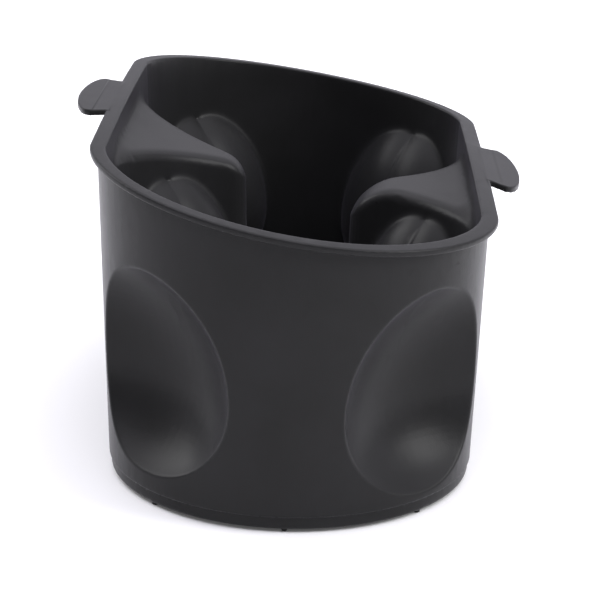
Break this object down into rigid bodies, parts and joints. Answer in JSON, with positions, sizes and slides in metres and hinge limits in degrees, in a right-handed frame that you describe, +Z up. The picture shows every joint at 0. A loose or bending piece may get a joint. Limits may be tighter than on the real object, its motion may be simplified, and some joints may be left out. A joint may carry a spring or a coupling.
{
  "type": "console cup holder",
  "caption": "Soft tub liner with two round wells side by side, gripping bumps inside, a sloping flanged rim and pull tabs.",
  "frame": {"origin": "bottom centre: under the middle between the two wells, at the level the feet stand on", "axes": "+Y from the near well to the far well, +X across to the low side of the rim, +Z up"},
  "size_m": [0.118, 0.1956, 0.0845],
  "materials": {
    "tub": "matt black rubber with a soft grazing sheen"
  },
  "bodies": {
    "root": {"cup_holder": "tub"}
  },
  "joints": []
}
